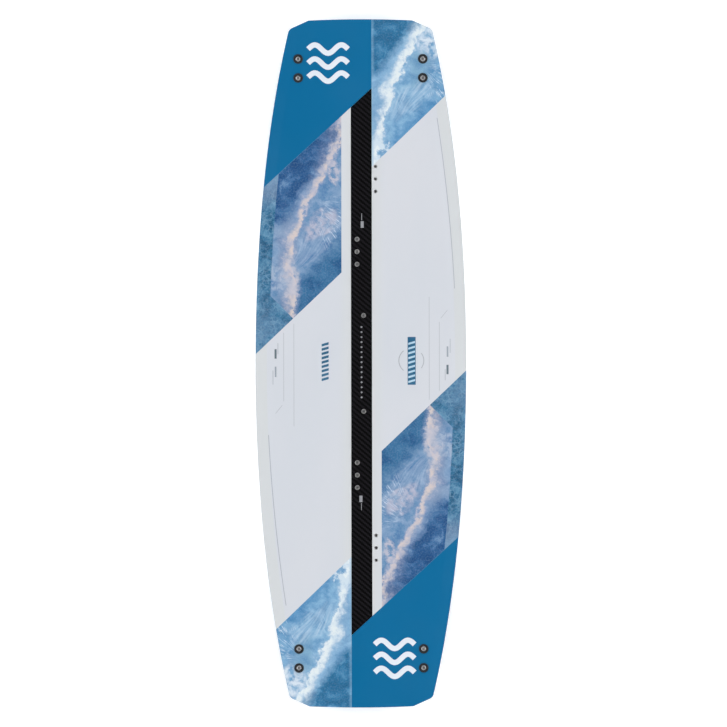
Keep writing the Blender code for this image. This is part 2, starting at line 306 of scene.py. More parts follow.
# ---- plan drawings: every loop is a list of plan points, anticlockwise ----
def turned(points):
    """The same points half a turn round the print's centre."""
    return [Vector((2 * PRINT_X - p.x, 2 * PRINT_Y - p.y)) for p in points]


HALVES = (("nose", list), ("tail", turned))


def from_print(points):
    """Points given from the print's centre."""
    return [Vector((PRINT_X + x, PRINT_Y + y)) for x, y in points]


def arc(x, y, radius, first, last, count=16):
    steps = (math.radians(first + (last - first) * i / count) for i in range(count + 1))
    return [Vector((x + radius * math.cos(a), y + radius * math.sin(a))) for a in steps]


def circle(x, y, radius, count=32):
    return arc(x, y, radius, 0, 360, count)[:-1]


def box(low, high):
    return [Vector(low), Vector((high[0], low[1])), Vector(high), Vector((low[0], high[1]))]


def stroke(points, width):
    """Outline of a line of constant width along the points."""
    left, right = [], []
    for i, here in enumerate(points):
        before = points[max(i - 1, 0)]
        after = points[min(i + 1, len(points) - 1)]
        one = (here - before).normalized() if here != before else (after - here).normalized()
        two = (after - here).normalized() if here != after else one
        side = Vector((-one.y - two.y, one.x + two.x)) * (width / 2 / (1 + one.dot(two)))
        left.append(here + side)
        right.append(here - side)
    return right + left[::-1]


def bars(x, y, width, height, share):
    """A column of slanted bars that fills a box."""
    pitch = height / BAR_COUNT
    made = []
    for low in (y + pitch * i for i in range(BAR_COUNT)):
        high = low + pitch * share
        made.append([Vector((x, low)), Vector((x + width, low + BAR_SLANT)),
                     Vector((x + width, high + BAR_SLANT)), Vector((x, high))])
    return made


def waves(x, y, count=28):
    """Three rows of a plain wave line."""
    made = []
    for row in (-1, 0, 1):
        line = []
        for share in (i / count for i in range(count + 1)):
            rise = WAVE_SPACING * (row + WAVE_RISE * math.sin(3 * math.pi * share))
            line.append(Vector((x + WAVE_WIDTH * (share - 0.5), y + rise)))
        made.append(stroke(line, WAVE_THICK))
    return made


def parabola(points, count=28):
    """Points on the parabola through three plan points, as x over y."""
    first, last = points[0][1], points[-1][1]
    line = []
    for y in (first + (last - first) * i / count for i in range(count + 1)):
        x = sum(one[0] * math.prod((y - other[1]) / (one[1] - other[1])
                                   for other in points if other != one) for one in points)
        line.append(Vector((x, y)))
    return line


def resample(points, closed=True):
    """The same line with points no further apart than the grid."""
    made = []
    count = len(points) if closed else len(points) - 1
    for i in range(count):
        one, two = points[i], points[(i + 1) % len(points)]
        pieces = max(1, math.ceil((two - one).length / GRID - WORK_EPSILON))
        made += [one.lerp(two, k / pieces) for k in range(pieces)]
    return made if closed else made + [points[-1]]


def triangulate(loops, lines):
    """Triangles of a plan that keep every loop and line as edges.

    loops are (name, points); a triangle belongs to the last loop that holds it.
    Returns the plan points and, for each name, its triangles.
    """
    points, edges, faces = [], [], []
    for name, loop in loops:
        first = len(points)
        points += loop
        faces.append(list(range(first, len(points))))
    for line in lines:
        first = len(points)
        points += line
        edges += [(i, i + 1) for i in range(first, len(points) - 1)]
    near = KDTree(len(points))
    for i, p in enumerate(points):
        near.insert((p.x, p.y, 0), i)
    near.balance()
    rows = math.ceil(LENGTH / GRID)
    columns = math.ceil(WIDTH / GRID)
    for row in range(-rows // 2, rows // 2 + 1):
        for column in range(-columns // 2, columns // 2 + 1):
            p = Vector(((column + 0.5 * (row % 2)) * GRID, row * GRID))
            if abs(p.x) < half_width(p.y) and near.find((p.x, p.y, 0))[2] > CLEAR:
                points.append(p)
    made, _, triangles, _, _, owners = delaunay_2d_cdt(points, edges, faces, 1, WORK_EPSILON)
    regions = {}
    for triangle, owner in zip(triangles, owners):
        if 0 in owner:
            regions.setdefault(loops[max(owner)][0], []).append(triangle)
    return made, regions


def keep(name, mesh):
    made = bpy.data.objects.new(name, mesh)
    bpy.context.scene.collection.objects.link(made)
    return made


def shell(name, triangles, points, outer, inner):
    """A closed sheet over plan triangles; its seen face lies on the outer surface."""
    used = sorted({i for triangle in triangles for i in triangle})
    index = {old: new for new, old in enumerate(used)}
    count = len(used)
    plan = [points[i] for i in used]
    verts = [(p.x, p.y, height(p.x, p.y)) for height in (outer, inner) for p in plan]
    up = 1 if outer(0, 0) > inner(0, 0) else -1
    faces = []
    edges = {}
    for triangle in triangles:
        seen = [index[i] for i in triangle][::up]
        faces += [seen, [i + count for i in reversed(seen)]]
        edges.update(dict.fromkeys(zip(seen, seen[1:] + seen[:1])))
    faces += [[two, one, one + count, two + count] for one, two in edges
              if (two, one) not in edges]
    mesh = bpy.data.meshes.new(name)
    mesh.from_pydata(verts, [], faces)
    mesh.shade_smooth()
    top = [surface_normal(outer, p.x, p.y) * up for p in plan]
    normals = []
    for face in mesh.polygons:
        if len(face.vertices) == 4:
            normals += [face.normal.copy()] * 4
        else:
            normals += [top[i] if i < count else -top[i - count] for i in face.vertices]
    mesh.normals_split_custom_set(normals)
    return keep(name, mesh)


def cut_film(loops, lines, outer, inner):
    """Closed sheets cut from a film along plan loops, by name."""
    points, regions = triangulate(loops, lines)
    return {name: shell(name, triangles, points, outer, inner)
            for name, triangles in regions.items() if name not in ("hole", "outline")}


def plan_place(name):
    """Middle of a CAD node in plan."""
    low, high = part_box(name)
    return ((low + high) / 2).to_2d()


def nodes_named(word):
    return [name for name in sorted(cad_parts) if word in name]


# ---- the deck print ----
def blue_edge(x):
    """Lower edge of the plain blue, from the print's centre."""
    return BLUE_AT_STRIP + BLUE_SLOPE * (x - STRIP_HALF)


def cloud_area():
    """The cloud picture: its left side follows the rail, then a corner is cut off."""
    gap = WORK_EPSILON * 100
    right = PRINT_X + CLOUD_RIGHT - gap
    top = PRINT_Y + blue_edge(CLOUD_RIGHT) - gap
    bottom = PRINT_Y + CLOUD_LOW + gap
    turn_x = SHOAL_INSET - half_width(SHOAL_TURN)
    high = next(y for y in (0.5 - 0.001 * i for i in range(400))
                if top + BLUE_SLOPE * (SHOAL_INSET - half_width(y) - right) > y)
    steps = [high + (SHOAL_TURN - high) * i / 16 for i in range(17)]
    side = [Vector((SHOAL_INSET - half_width(y), y)) for y in steps]
    cut = (SHOAL_TURN - bottom + CLOUD_SLOPE * (right - turn_x)) / (1 + CLOUD_SLOPE)
    corner = Vector((turn_x + cut, SHOAL_TURN - cut))
    return side + [corner, Vector((right, bottom)), Vector((right, top))]


def print_areas():
    """The print's fields as (name, loop). They run past the outline, which trims them."""
    left, right, far = -WIDTH, WIDTH, LENGTH
    surf_right = SURF_AT_STRIP + SURF_SLOPE * (right - STRIP_HALF)
    cloud_left = CLOUD_LOW + CLOUD_SLOPE * (left - CLOUD_RIGHT)
    blue = [(left, blue_edge(left)), (STRIP_HALF, BLUE_AT_STRIP), (STRIP_HALF, far), (left, far)]
    surf = [(STRIP_HALF, SURF_AT_STRIP), (right, surf_right), (right, far), (STRIP_HALF, far)]
    shoal = [(left, cloud_left), (CLOUD_RIGHT, CLOUD_LOW),
             (CLOUD_RIGHT, blue_edge(CLOUD_RIGHT)), (left, blue_edge(left))]
    fields = (("blue", from_print(blue)), ("surf", from_print(surf)),
              ("shoal", from_print(shoal)), ("cloud", cloud_area()))
    return [("deck_%s_%s" % (kind, end), turn(loop)) for end, turn in HALVES
            for kind, loop in fields]


def print_marks():
    """Small printed marks as (name, loop), mostly plain shapes in place of lettering, and a
    painted shade line along each bevel's crease.
    """
    marks = [("print_waves_" + end, loop) for end, x, y in WAVE_PLACES for loop in waves(x, y)]
    marks.append(("print_blue_block", box(BLOCK_LOW, BLOCK_HIGH)))
    marks += [("print_pale_bars", loop) for loop in bars(*PALE_BARS)]
    marks += [("print_blue_bars", loop) for loop in bars(*BLUE_BARS)]
    marks += [("print_grey_lines", stroke(arc(*RING, first, last), RING_THICK))
              for first, last in RING_ARCS]
    dots = (DOTS_TOP - DOTS_LONG * i / (DOTS - 1) for i in range(DOTS))
    marks += [("print_carbon_dots", circle(PRINT_X, y, DOT_R, 12)) for y in dots]
    for _, turn in HALVES:
        for line in THIN_LINES:
            line = resample(from_print(line), False)
            marks.append(("print_grey_lines", turn(stroke(line, THIN))))
        # A painted shade line along the bevel's crease, drawn as a dark film stroke
        marks.append(("print_crease_lines", turn(stroke(parabola(CREASE), CREASE_THICK))))
        for kind, x, low, high, wide in STROKES:
            line = from_print([(x, low), (x, high)])
            marks.append(("print_" + kind, turn(stroke(line, wide))))
    return marks


def strip_loop(grow):
    """Outline of the carbon strip, grown all round."""
    half = STRIP_HALF + grow
    end = BLUE_AT_STRIP + grow * math.hypot(1, BLUE_SLOPE)
    far = end + BLUE_SLOPE * grow
    near = end - BLUE_SLOPE * (2 * STRIP_HALF + grow)
    return from_print([(-half, -far), (half, -near), (half, far), (-half, near)])


def crease_lines():
    """Lines on both sides of each bevel's rounded crease."""
    ys = [CREASE_REACH * (2 * i / CREASE_STEPS - 1) for i in range(CREASE_STEPS + 1)]
    return [[Vector((side * (half_width(y) - inward), y)) for y in ys] for side in (-1, 1)
            for inward in (BEVEL - BEVEL_SOFT, BEVEL + BEVEL_SOFT)]


def build_deck():
    """Cuts the deck film along its print and returns the pieces by name."""
    loops = [("outline", outline(FILM_INSET)),
             ("deck_white_left", box((PRINT_X - WIDTH, -LENGTH), (PRINT_X, LENGTH))),
             ("deck_white_right", box((PRINT_X, -LENGTH), (PRINT_X + WIDTH, LENGTH)))]
    loops += [(name, resample(loop)) for name, loop in print_areas()]
    loops += [("hole", resample(strip_loop(GAP))), ("carbon_strip", resample(strip_loop(0)))]
    loops += print_marks()
    for name in nodes_named("_insert_"):
        radius = LAPPED_HOLE_R if "outer" in name else INSERT_R + GAP
        loops.append(("hole", circle(*plan_place(name), radius)))
    for name in nodes_named("fin_washer_"):
        loops.append(("hole", circle(*plan_place(name), SCREW_R + GAP, 24)))
    return cut_film(loops, crease_lines(), deck_z, lambda x, y: deck_z(x, y) - SHEET)


def build_base():
    """The base film: a plain printed underside, cut along its own slanted fields."""
    def field(low, high):
        corners = [(-WIDTH, low[0]), (WIDTH, low[1]), (WIDTH, high[1]), (-WIDTH, high[0])]
        return resample(from_print(corners))

    loops = [("outline", outline(FILM_INSET)), ("base_white_middle", outline(-GRID))]
    for end, turn in HALVES:
        loops.append(("base_blue_" + end, turn(field(BASE_BLUE, (LENGTH, LENGTH)))))
        loops.append(("base_band_" + end, turn(field(BASE_BAND, BASE_BLUE))))
    for sign in (-1, 1):
        for row in (-1, 0, 1):
            x = sign * (BASE_LINE_X + BASE_LINE_PITCH * row)
            y = sign * BASE_LINE_SHIFT * row
            line = [Vector((x, y - BASE_LINE_HALF)), Vector((x, y + BASE_LINE_HALF))]
            loops.append(("base_print_lines", stroke(resample(line, False), BASE_LINE_THICK)))
    for name in nodes_named("fin_washer_"):
        hole = surface_frame(deck_z, *plan_place(name)) @ Vector((0, 0, -THICK_MIDDLE))
        loops.append(("hole", circle(hole.x, hole.y, SCREW_R + 2 * GAP, 24)))
    return cut_film(loops, [], base_z, lambda x, y: base_z(x, y) + SHEET)


# ---- materials ----
def paint(red, green, blue):
    """Base colour that looks like this sRGB colour (0 to 255) under the studio light."""
    linear = [((c / 255 + 0.055) / 1.055) ** 2.4 / STUDIO_GAIN for c in (red, green, blue)]
    return (*linear, 1.0)


class Tree:
    """A node tree, with short ways to add nodes."""

    def __init__(self, tree):
        self.nodes = tree.nodes
        self.links = tree.links

    def put(self, socket, value):
        if isinstance(value, bpy.types.NodeSocket):
            self.links.new(value, socket)
        else:
            socket.default_value = value

    def node(self, kind, inputs, output=0, **settings):
        made = self.nodes.new(kind)
        for key, value in settings.items():
            setattr(made, key, value)
        for key, value in inputs.items():
            self.put(made.inputs[key], value)
        return made.outputs[output]

    def math(self, operation, *values):
        return self.node("ShaderNodeMath", dict(enumerate(values)), operation=operation)

    def times(self, first, *others):
        """All the values multiplied together."""
        for value in others:
            first = self.math("MULTIPLY", first, value)
        return first

    def minus(self, one, two):
        return self.math("SUBTRACT", one, two)

    def length(self, point):
        return self.node("ShaderNodeVectorMath", {0: point}, 1, operation="LENGTH")

    def between(self, value, low, high, first=0.0, last=1.0, smooth=True):
        """first where value is low, last where it is high, eased between them."""
        ease = "SMOOTHSTEP" if smooth else "LINEAR"
        return self.node("ShaderNodeMapRange",
                         {"Value": value, "From Min": low, "From Max": high,
                          "To Min": first, "To Max": last}, interpolation_type=ease)

    def mix(self, share, one, two):
        return self.node("ShaderNodeMix", {0: share, 6: one, 7: two}, 2, data_type="RGBA")

    def noise(self, point, scale, detail=4.0, roughness=0.5, distortion=0.0):
        return self.node("ShaderNodeTexNoise",
                         {"Vector": point, "Scale": scale, "Detail": detail,
                          "Roughness": roughness, "Distortion": distortion})

    def ramp(self, value, *stops):
        """Colours by value, from (position, colour) stops."""
        made = self.nodes.new("ShaderNodeValToRGB")
        self.put(made.inputs[0], value)
        elements = made.color_ramp.elements
        while len(elements) < len(stops):
            elements.new(0.5)
        for element, (position, color) in zip(elements, stops):
            element.position = position
            element.color = color
        return made.outputs[0]

    def tones(self, value, *stops):
        """The same, with the colours as sRGB paints."""
        return self.ramp(value, *[(position, paint(*color)) for position, color in stops])

    def split(self, point):
        made = self.nodes.new("ShaderNodeSeparateXYZ")
        self.put(made.inputs[0], point)
        return made.outputs

    def join(self, x, y, z=0.0):
        return self.node("ShaderNodeCombineXYZ", {0: x, 1: y, 2: z})

    def moved(self, point, move=(0, 0, 0), scale=(1, 1, 1)):
        return self.node("ShaderNodeMapping", {"Vector": point, "Location": move, "Scale": scale})


class Look(Tree):
    """A material in the making."""

    def __init__(self, name, **constants):
        self.material = bpy.data.materials.new(name)
        self.material.use_nodes = True
        super().__init__(self.material.node_tree)
        self.shader = self.nodes["Principled BSDF"]
        for socket, value in constants.items():
            self.shader.inputs[socket.replace("_", " ")].default_value = value
        self.object_point = self.node("ShaderNodeTexCoord", {}, "Object")

    def grain(self, scale, detail=4.0):
        """Even noise all over the object."""
        return self.noise(self.object_point, scale, detail)

    def fibres(self, scale, detail=3.0):
        """Noise with its own scale along each axis."""
        return self.noise(self.moved(self.object_point, scale=scale), 1.0, detail)

    def color(self, value):
        self.put(self.shader.inputs["Base Color"], value)

    def flecked(self, base, texture, low, high, share, color):
        """Base colour, with some of a second one where the texture is high."""
        self.color(self.mix(self.between(texture, low, high, 0.0, share), base, paint(*color)))

    def bump(self, texture, distance, strength):
        relief = self.node("ShaderNodeBump", {"Height": texture, "Distance": distance,
                                              "Strength": strength})
        self.put(self.shader.inputs["Normal"], relief)

    def rough(self, texture, first, last, low=0.3, high=0.7):
        self.put(self.shader.inputs["Roughness"], self.between(texture, low, high, first, last))


def film_finish(look):
    """Satin clear film: slight orange peel, faint scuffs and uneven gloss."""
    look.bump(look.grain(260.0, 2.0), 0.00004, 0.35)
    look.rough(look.grain(9.0), 0.30, 0.39)
    return look.material


def white_film():
    """White ink, with painted shade on the bevels and a slight grey tint beside the strip."""
    look = Look("deck_film_white", Specular_IOR_Level=FILM_SPECULAR)
    tint = look.fibres((6, 2.1, 6))
    base = look.tones(tint, (0.30, (210, 215, 223)), (0.70, (215, 218, 225)))
    x, y, _ = look.split(look.object_point)
    square = look.times(y, y)
    slope = look.math("MULTIPLY_ADD", square, SIDE_FOURTH, SIDE_SQUARE)
    rail = look.minus(WIDTH / 2, look.times(square, slope))
    inward = look.minus(rail, look.math("ABSOLUTE", x))
    from_strip = look.math("ABSOLUTE", look.minus(x, PRINT_X))
    # Painted shade on the bevels, from the crease out to the rail, together with a grey tint
    # beside the strip
    edges = look.math("MAXIMUM", look.between(inward, BEVEL - BEVEL_SOFT, BEVEL, 1.0, 0.0),
                      look.between(from_strip, STRIP_HALF, 2.5 * STRIP_HALF, 1.0, 0.0))
    bevel_shade_and_strip_grey = look.mix(edges, base, paint(212, 216, 219))
    look.flecked(bevel_shade_and_strip_grey, look.grain(900.0, 2.0), 0.3, 0.7, 0.05, (196, 202, 212))
    return film_finish(look)


def plain_film(name, low, high, scale=8.0):
    """One printed ink with a faint unevenness from the press."""
    look = Look(name, Specular_IOR_Level=FILM_SPECULAR)
    tint = look.fibres((scale, 0.3 * scale, scale), 4.0)
    base = look.tones(tint, (0.30, low), (0.70, high))
    look.flecked(base, look.grain(700.0, 2.0), 0.35, 0.75, 0.10, high)
    return film_finish(look)


class Picture(Look):
    """Film printed with a painted picture, drawn in plan from the print's centre.

    The tail's picture is the nose's turned half round, so it flips the plan first.
    """

    def __init__(self, name, end, seed, billow=0.055):
        super().__init__("deck_film_%s_%s" % (name, end), Specular_IOR_Level=FILM_SPECULAR)
        turn = -1 if end == "tail" else 1
        centred = self.moved(self.object_point, scale=(turn, turn, 0),
                             move=(-turn * PRINT_X, -turn * PRINT_Y, 0))
        self.seeded = self.moved(centred, move=(seed, seed, seed))
        self.sharp_x, self.sharp_y, _ = self.split(centred)
        other = self.moved(centred, move=(seed + 3.1, seed - 1.7, seed))
        self.x = self.pushed(self.sharp_x, self.noise(self.seeded, 22.0, 7.0, 0.62), billow)
        self.y = self.pushed(self.sharp_y, self.noise(other, 22.0, 7.0, 0.62), billow)
        self.bent = self.join(self.x, self.y)
        bend = self.noise(self.seeded, 9.0, 1.0)
        self.calm_x = self.pushed(self.sharp_x, bend, 0.4 * billow)
        self.calm_y = self.pushed(self.sharp_y, bend, -0.4 * billow)
        self.crumble = self.pushed(0.0, self.noise(self.seeded, 95.0, 5.0, 0.7), 0.030)
        self.ink = None

    def pushed(self, value, texture, reach):
        """The value moved by a texture, half of the reach to either side."""
        return self.math("MULTIPLY_ADD", self.minus(texture, 0.5), reach, value)

    def lay(self, color, *shares):
        """Paints a colour over what is there, as far as the shares say together."""
        color = paint(*color) if isinstance(color, tuple) else color
        self.ink = self.mix(self.times(*shares), self.ink, color)

    def beyond(self, point, angle, soft):
        """1 on the left of a directed line through point, 0 on its right."""
        side_x = -math.sin(math.radians(angle))
        side_y = math.cos(math.radians(angle))
        level = self.math("MULTIPLY_ADD", self.x, side_x, self.times(self.y, side_y))
        edge = point[0] * side_x + point[1] * side_y
        return self.between(level, edge - soft / 2, edge + soft / 2)

    def blob(self, point, radii, angle=0.0):
        """1 inside an ellipse, easing to 0 over its outer part."""
        cos, sin = math.cos(math.radians(angle)), math.sin(math.radians(angle))
        x = self.minus(self.x, point[0])
        y = self.minus(self.y, point[1])
        along = self.math("MULTIPLY_ADD", x, cos / radii[0], self.times(y, sin / radii[0]))
        across = self.math("MULTIPLY_ADD", x, -sin / radii[1], self.times(y, cos / radii[1]))
        return self.between(self.length(self.join(along, across)), 0.7, 1.3, 1.0, 0.0)

    def ridge(self, line, sharp, fading, shift=0.0):
        """A cloud or foam edge along (y, x) points: sharp on its right, fading left."""
        low, high = line[0][0], line[-1][0]
        made = self.nodes.new("ShaderNodeFloatCurve")
        curve = made.mapping.curves[0]
        spread = max(abs(x) for _, x in line)
        places = [((y - low) / (high - low), 0.5 + 0.5 * x / spread) for y, x in line]
        curve.points[0].location = places[0]
        curve.points[1].location = places[-1]
        for place in places[1:-1]:
            curve.points.new(*place)
        made.mapping.update()
        self.put(made.inputs["Value"], self.between(self.y, low, high, smooth=False))
        centre = self.math("MULTIPLY_ADD", made.outputs[0], 2 * spread, shift - spread)
        off = self.math("ADD", self.minus(self.x, centre), self.crumble)
        right = self.between(off, 0.0, sharp, 1.0, 0.0)
        return self.times(right, self.between(off, -fading, -0.1 * fading))

    def fan(self, point, count, low, high, breaks):
        """Feathery rays spreading from a point: 1 on a ray."""
        x = self.minus(self.calm_x, point[0])
        y = self.minus(self.calm_y, point[1])
        angle = self.math("ARCTAN2", y, x)
        reach = self.length(self.join(x, y))
        polar = self.join(self.times(angle, count), self.times(reach, breaks))
        return self.between(self.noise(polar, 1.0, 2.5), low, high)

    def plume(self, color, point, radii, angle, source, share):
        """Long soft rays from a source, inside an ellipse."""
        self.lay(color, self.blob(point, radii, angle),
                 self.fan(source, 26.0, 0.30, 0.78, 22.0), share)

    def spray(self, color, point, radii, angle, source):
        """Short broken streaks from a source, inside an ellipse."""
        self.lay(color, self.blob(point, radii, angle),
                 self.fan(source, 34.0, 0.50, 0.66, 48.0), self.patches(90.0, 0.36, 0.56), 0.85)

    def cells(self, scale):
        """Distance to the edges of irregular cells."""
        return self.node("ShaderNodeTexVoronoi", {"Vector": self.bent, "Scale": scale},
                         feature="DISTANCE_TO_EDGE")

    def patches(self, scale, low, high):
        """Irregular cloudy patches, 1 inside."""
        return self.between(self.noise(self.seeded, scale, 6.0, 0.62, 0.4), low, high)

    def done(self):
        fine = self.noise(self.seeded, 300.0, 3.0, 0.6)
        self.flecked(self.ink, fine, 0.40, 0.75, 0.10, (214, 228, 240))
        return film_finish(self)


def surf_picture(end):
    """Open water from above: a line of foam between deep and mid blue."""
    look = Picture("surf", end, 1.7)
    soft = look.noise(look.bent, 38.0, 7.0, 0.64, 0.3)
    look.ink = look.tones(soft, (0.34, (84, 140, 186)), (0.50, (118, 166, 205)),
                          (0.66, (152, 192, 220)))
    deep_water = look.tones(soft, (0.38, (30, 98, 141)), (0.50, (46, 114, 158)),
                            (0.61, (80, 142, 184)), (0.70, (126, 176, 210)))
    look.lay(deep_water, look.beyond((0.080, 0.636), 50.0, 0.022))
    look.lay((214, 226, 238), look.blob((0.142, 0.640), (0.026, 0.032)),
             look.patches(60.0, 0.36, 0.60))
    look.lay(look.tones(soft, (0.36, (84, 136, 180)), (0.62, (122, 166, 198))),
             look.blob((0.118, 0.585), (0.040, 0.022), 70.0), 0.75)
    look.lay((84, 140, 187), look.blob((0.032, 0.492), (0.014, 0.034)), 0.85)
    look.plume((194, 214, 231), (0.102, 0.530), (0.052, 0.024), 40.0, (0.040, 0.440), 0.65)
    look.lay(look.tones(soft, (0.36, (54, 122, 176)), (0.64, (106, 162, 203))),
             look.beyond((0.120, 0.504), 223.8, 0.022),
             look.beyond((0.060, 0.440), -46.2, 0.03), 0.8)
    look.lay(look.tones(soft, (0.36, (72, 134, 182)), (0.64, (120, 168, 206))),
             look.blob((0.162, 0.556), (0.018, 0.036), 16.0), 0.85)
    look.spray((216, 230, 242), (0.154, 0.562), (0.026, 0.044), 16.0, (0.112, 0.598))
    foam = [(0.38, 0.026), (0.44, 0.038), (0.51, 0.050), (0.57, 0.074), (0.63, 0.108),
            (0.70, 0.134)]
    look.lay((168, 200, 226), look.ridge(foam, 0.012, 0.050, 0.002), 0.55)
    look.lay((210, 225, 237), look.ridge(foam, 0.007, 0.026), look.patches(48.0, 0.34, 0.56))
    look.lay((228, 237, 241), look.ridge(foam, 0.005, 0.018, -0.001),
             look.patches(70.0, 0.30, 0.54))
    look.lay((208, 224, 236), look.blob((0.036, 0.425), (0.020, 0.034)),
             look.patches(75.0, 0.44, 0.56))
    beside_strip = look.between(look.sharp_x, STRIP_HALF + 0.001, STRIP_HALF + 0.007, 0.40, 0.0)
    look.lay((140, 182, 212), beside_strip)
    return look.done()


def cloud_picture(end):
    """A bank of cloud lit from the side, over an indigo sky."""
    look = Picture("cloud", end, 5.2)
    soft = look.noise(look.bent, 36.0, 7.0, 0.64, 0.3)
    look.ink = look.tones(soft, (0.34, (72, 120, 170)), (0.50, (104, 144, 184)),
                          (0.66, (142, 168, 200)))
    high_sky = look.tones(soft, (0.36, (24, 74, 126)), (0.50, (40, 88, 140)),
                          (0.61, (72, 116, 164)), (0.70, (126, 160, 195)))
    look.lay(high_sky, look.beyond((-0.105, 0.357), 54.0, 0.028))
    look.lay(look.tones(soft, (0.36, (36, 84, 138)), (0.64, (78, 122, 167))),
             look.blob((-0.155, 0.300), (0.014, 0.036)), 0.8)
    look.lay(look.tones(soft, (0.36, (92, 126, 168)), (0.64, (144, 164, 191))),
             look.blob((-0.150, 0.225), (0.020, 0.060)), 0.7)
    look.lay((188, 188, 203), look.blob((-0.054, 0.385), (0.014, 0.034)),
             look.patches(80.0, 0.40, 0.58))
    look.lay((184, 184, 203), look.blob((-0.084, 0.272), (0.036, 0.022), 35.0),
             look.patches(60.0, 0.36, 0.60))
    look.plume((172, 187, 211), (-0.092, 0.240), (0.064, 0.026), 50.0, (-0.160, 0.150), 0.6)
    look.lay(look.tones(soft, (0.36, (28, 84, 133)), (0.64, (62, 118, 162))),
             look.beyond((-0.090, 0.194), 224.0, 0.045), 0.95)
    look.spray((206, 219, 236), (-0.058, 0.278), (0.026, 0.050), -20.0, (-0.102, 0.320))
    bank = [(0.09, -0.140), (0.16, -0.135), (0.23, -0.139), (0.30, -0.114), (0.36, -0.084),
            (0.46, -0.038)]
    look.lay((146, 163, 195), look.ridge(bank, 0.012, 0.046, 0.002), 0.50)
    look.lay((182, 184, 203), look.ridge(bank, 0.007, 0.024), look.patches(48.0, 0.32, 0.54))
    look.lay((213, 201, 198), look.ridge(bank, 0.005, 0.017, -0.001),
             look.patches(70.0, 0.36, 0.60))
    look.lay((196, 196, 208), look.blob((-0.141, 0.168), (0.016, 0.046), -6.0),
             look.patches(62.0, 0.38, 0.58), 0.75)
    look.lay((186, 196, 214), look.blob((-0.168, 0.168), (0.014, 0.034)),
             look.patches(52.0, 0.42, 0.60), 0.6)
    return look.done()


def shoal_picture(end):
    """Clear shallow water with a net of bright ripples."""
    look = Picture("shoal", end, 8.4, 0.016)
    wide = look.noise(look.bent, 40.0, 6.0, 0.66, 0.3)
    look.ink = look.tones(wide, (0.38, (14, 78, 118)), (0.50, (44, 106, 146)),
                          (0.62, (92, 144, 178)))
    look.lay((130, 172, 200), look.between(look.cells(95.0), 0.0, 0.16, 0.50, 0.0),
             look.patches(30.0, 0.40, 0.62))
    look.lay((134, 174, 200), look.between(look.cells(210.0), 0.0, 0.10, 0.14, 0.0))
    look.lay((128, 152, 184), look.between(look.y, 0.295, 0.345, 0.0, 0.55))
    look.lay((112, 150, 184), look.between(look.y, 0.06, 0.17, 0.40, 0.0),
             look.patches(36.0, 0.3, 0.6))
    return look.done()


def twill_film():
    """Carbon in 2x2 twill under clear film, with a painted sheen that makes one tow direction
    lighter than the other, and painted shade in the valleys between tows.
    """
    look = Look("deck_carbon", Specular_IOR_Level=0.08, Coat_Weight=0.5, Coat_Roughness=0.06)
    x, y, _ = look.split(look.object_point)
    column = look.math("DIVIDE", x, TOW_X)
    row = look.math("DIVIDE", y, TOW_Y)
    step = look.math("ADD", look.math("FLOOR", column), look.math("FLOOR", row))
    over = look.math("LESS_THAN", look.math("FLOORED_MODULO", step, 4.0), 1.5)
    upright, level = [look.math("SINE", look.times(look.math("FRACT", place), math.pi))
                      for place in (column, row)]
    height = look.node("ShaderNodeMix", {0: over, 2: level, 3: upright}, 0)
    fibre = look.node("ShaderNodeMix", {0: over, 2: look.fibres((160, 4200, 1), 2.0),
                                        3: look.fibres((4200, 160, 1), 2.0)}, 0)
    # Painted sheen: both tow directions are the same carbon, one given a darker colour and one a
    # lighter, as the fibres' gloss would show them
    upright_tow_shade = look.tones(fibre, (0.3, (1, 1, 2)), (0.7, (4, 4, 6)))
    level_tow_sheen = look.tones(fibre, (0.3, (15, 14, 17)), (0.7, (39, 38, 42)))
    tow = look.mix(over, level_tow_sheen, upright_tow_shade)
    # Painted shade in the valleys between the tows
    valley_shade = look.between(height, 0.0, 0.5, 0.75, 0.0)
    look.color(look.mix(valley_shade, tow, paint(3, 3, 4)))
    look.bump(height, 0.00006, 0.5)
    look.rough(fibre, 0.30, 0.42)
    return look.material


def rail_plastic():
    """Sanded ABS sidewall."""
    look = Look("rail_abs", Specular_IOR_Level=0.4)
    sanding = look.fibres((900, 60, 900))
    base = look.tones(look.grain(14.0), (0.3, (204, 209, 217)), (0.7, (214, 218, 226)))
    look.flecked(base, sanding, 0.3, 0.7, 0.18, (176, 182, 192))
    look.rough(sanding, 0.42, 0.62)
    look.bump(sanding, 0.00004, 0.5)
    return look.material


def brushed_metal(name, low, high):
    look = Look(name, Metallic=1.0, Anisotropic=0.2)
    brushed = look.fibres((2600, 300, 600))
    base = look.ramp(brushed, (0.3, (*low, 1)), (0.7, (*high, 1)))
    stain = look.between(look.grain(180.0), 0.45, 0.75, 0.0, 0.25)
    look.color(look.mix(stain, base, (*low, 1)))
    look.rough(brushed, 0.34, 0.52, 0.25, 0.75)
    look.bump(brushed, 0.00001, 0.4)
    return look.material


def moulded_rubber():
    look = Look("washer_moulded", Specular_IOR_Level=0.3)
    grain = look.grain(2400.0, 3.0)
    base = look.tones(look.grain(240.0), (0.35, (22, 25, 28)), (0.70, (40, 44, 48)))
    look.flecked(base, grain, 0.4, 0.7, 0.3, (60, 64, 68))
    look.rough(grain, 0.5, 0.7)
    look.bump(grain, 0.00003, 0.5)
    return look.material


def fin_laminate():
    """Milled glass laminate, dyed black: cloth layers show as faint bands."""
    look = Look("fin_g10", Specular_IOR_Level=0.4, Coat_Weight=0.15, Coat_Roughness=0.2)
    along = look.moved(look.object_point, scale=(1, 0.1, 0.1))
    bands = look.node("ShaderNodeTexWave", {"Vector": along, "Scale": 900.0,
                                            "Distortion": 3.0, "Detail": 2.0})
    weave = look.fibres((400, 900, 900))
    base = look.mix(look.between(bands, 0.2, 0.9, 0.0, 0.5), paint(24, 25, 28), paint(44, 46, 50))
    look.flecked(base, weave, 0.45, 0.75, 0.4, (62, 64, 66))
    look.rough(weave, 0.30, 0.46)
    look.bump(weave, 0.00003, 0.4)
    return look.material


